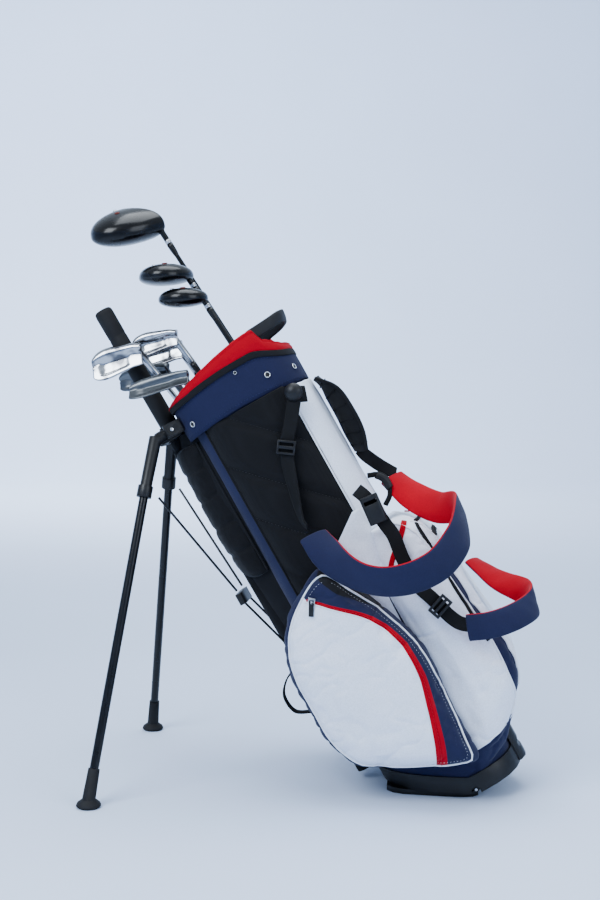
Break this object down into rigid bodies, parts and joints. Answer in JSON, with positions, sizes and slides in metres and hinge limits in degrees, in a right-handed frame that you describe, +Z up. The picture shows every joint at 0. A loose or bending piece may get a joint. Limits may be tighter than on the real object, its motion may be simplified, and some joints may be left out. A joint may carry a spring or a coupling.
{
  "type": "golf club set",
  "caption": "Golf stand bag leaning on its folding legs, holding woods, irons, a wedge and an umbrella, with pockets, carry straps and a collar.",
  "frame": {"origin": "middle of the foot plate's flat underside, on the floor", "axes": "+Z up, +X from the legs towards the base, -Y towards the side with the near leg and the straps"},
  "size_m": [0.8709, 0.5564, 1.0936],
  "materials": {
    "navy_fabric": "woven polyester, matt",
    "red_fabric": "woven polyester, matt",
    "white_fabric": "coated woven polyester, matt",
    "black_fabric": "mesh and webbing, matt",
    "black_plastic": "moulded, satin",
    "black_metal": "gloss black coating",
    "rubber": "matt",
    "gloss_black": "polished black paint",
    "chrome": "polished",
    "gunmetal": "dark, satin",
    "steel": "plated, satin"
  },
  "bodies": {
    "bag": {"base_shell": "black_plastic", "base_heel": "black_plastic", "bag_shell": "black_fabric", "club_divider": "black_plastic", "collar_band": "navy_fabric", "collar_pad": "red_fabric", "lift_handle": "black_fabric", "side_pocket_near": "white_fabric", "side_pocket_far": "white_fabric", "ball_pocket": "white_fabric", "back_pocket": "white_fabric", "hip_pad": "black_fabric", "grab_loop": "black_fabric", "umbrella_sleeve": "black_fabric", "leg_bracket": "black_plastic", "leg_pin_near": "steel", "leg_pin_far": "steel", "flap_pin": "steel", "strap_pad_near": "navy_fabric", "strap_pad_low": "navy_fabric", "strap_pad_rear": "black_fabric", "strap_hub": "black_plastic", "web_front": "black_fabric", "ladder_lock": "black_plastic", "strap_buckle": "black_plastic", "web_rear": "black_fabric", "web_tail": "black_fabric", "triglide": "black_plastic"},
    "leg_near": {"leg_upper_near": "black_plastic", "leg_tube_near": "black_metal", "foot_near": "rubber"},
    "leg_far": {"leg_upper_far": "black_plastic", "leg_tube_far": "black_metal", "foot_far": "rubber"},
    "push_rod_near": {"push_rod_near": "black_metal"},
    "push_rod_far": {"push_rod_far": "black_metal"},
    "rod": {"rod_clip": "black_plastic", "lower_rod": "black_metal"},
    "flap": {"base_flap": "black_plastic"},
    "zip_slider": {"zip_slider": "steel"},
    "zip_pull": {"zip_pull": "black_plastic"},
    "umbrella": {"umbrella_handle": "rubber", "umbrella_canopy": "black_fabric", "umbrella_tip": "steel"},
    "driver": {"driver_head": "gloss_black", "driver_shaft": "black_metal"},
    "fairway": {"fairway_head": "gloss_black", "fairway_shaft": "black_metal"},
    "hybrid": {"hybrid_head": "gloss_black", "hybrid_shaft": "black_metal"},
    "iron_1": {"iron_1_head": "chrome", "iron_1_shaft": "steel"},
    "iron_2": {"iron_2_head": "chrome", "iron_2_shaft": "steel"},
    "iron_3": {"iron_3_head": "chrome", "iron_3_shaft": "steel"},
    "iron_4": {"iron_4_head": "gunmetal", "iron_4_shaft": "steel"},
    "wedge": {"wedge_head": "gunmetal", "wedge_shaft": "steel"}
  },
  "joints": [
    {"name": "leg_near_fold", "type": "hinge", "parent": "bag", "child": "leg_near", "pos_m": [-0.50659, -0.0645, 0.66137], "axis": [0.3628, -0.907, 0.2137], "range_deg": [0, 39.5]},
    {"name": "leg_far_fold", "type": "hinge", "parent": "bag", "child": "leg_far", "pos_m": [-0.50659, 0.0645, 0.66137], "axis": [-0.3628, -0.907, -0.2137], "range_deg": [0, 40]},
    {"name": "push_rod_near_turn", "type": "hinge", "parent": "leg_near", "child": "push_rod_near", "pos_m": [-0.52969, -0.09991, 0.55027], "axis": [-0.4376, 0.8989, -0.0214], "range_deg": [0, 53.35]},
    {"name": "push_rod_far_turn", "type": "hinge", "parent": "leg_far", "child": "push_rod_far", "pos_m": [-0.52969, 0.09991, 0.55027], "axis": [0.4376, 0.8989, 0.0214], "range_deg": [0, 53.35]},
    {"name": "rod_slide", "type": "slide", "parent": "bag", "child": "rod", "axis": [0.7287, 0, -0.6849], "range_m": [0, 0.0505]},
    {"name": "flap_hinge", "type": "hinge", "parent": "bag", "child": "flap", "pos_m": [0.079, 0, 0.014], "axis": [0, -1, 0], "range_deg": [0, 31]},
    {"name": "zip_slide", "type": "slide", "parent": "bag", "child": "zip_slider", "axis": [0.9724, -0.1483, -0.1802], "range_m": [0, 0.07]},
    {"name": "zip_pull_swing", "type": "hinge", "parent": "zip_slider", "child": "zip_pull", "pos_m": [-0.22168, -0.1916, 0.37176], "axis": [1, 0, 0], "range_deg": [-60, 0]},
    {"name": "umbrella_lift", "type": "slide", "parent": "bag", "child": "umbrella", "axis": [-0.521, 0, 0.8536], "range_m": [0, 0.76]},
    {"name": "driver_lift", "type": "slide", "parent": "bag", "child": "driver", "axis": [-0.5572, 0.0084, 0.8303], "range_m": [0, 0.92]},
    {"name": "fairway_lift", "type": "slide", "parent": "bag", "child": "fairway", "axis": [-0.566, 0.0009, 0.8244], "range_m": [0, 0.075]},
    {"name": "hybrid_lift", "type": "slide", "parent": "bag", "child": "hybrid", "axis": [-0.5595, 0.0059, 0.8288], "range_m": [0, 0.01]},
    {"name": "iron_1_lift", "type": "slide", "parent": "bag", "child": "iron_1", "axis": [-0.6446, -0.003, 0.7646], "range_m": [0, 0.045]},
    {"name": "iron_2_lift", "type": "slide", "parent": "bag", "child": "iron_2", "axis": [-0.6047, -0.0061, 0.7964], "range_m": [0, 0.07]},
    {"name": "iron_3_lift", "type": "slide", "parent": "bag", "child": "iron_3", "axis": [-0.603, 0.0236, 0.7974], "range_m": [0, 0.2]},
    {"name": "iron_4_lift", "type": "slide", "parent": "bag", "child": "iron_4", "axis": [-0.6221, 0.0106, 0.7828], "range_m": [0, 0.09]},
    {"name": "wedge_lift", "type": "slide", "parent": "bag", "child": "wedge", "axis": [-0.5655, -0.0046, 0.8247], "range_m": [0, 0.88]}
  ],
  "couplings": [
    {"joint": "leg_far_fold", "follows": "leg_near_fold", "ratio": 1},
    {"joint": "push_rod_near_turn", "follows": "leg_near_fold", "ratio": 1.3381},
    {"joint": "push_rod_far_turn", "follows": "leg_near_fold", "ratio": 1.3381},
    {"joint": "rod_slide", "follows": "leg_near_fold", "m_per_rad": 0.072526},
    {"joint": "flap_hinge", "follows": "leg_near_fold", "ratio": 0.77215}
  ]
}
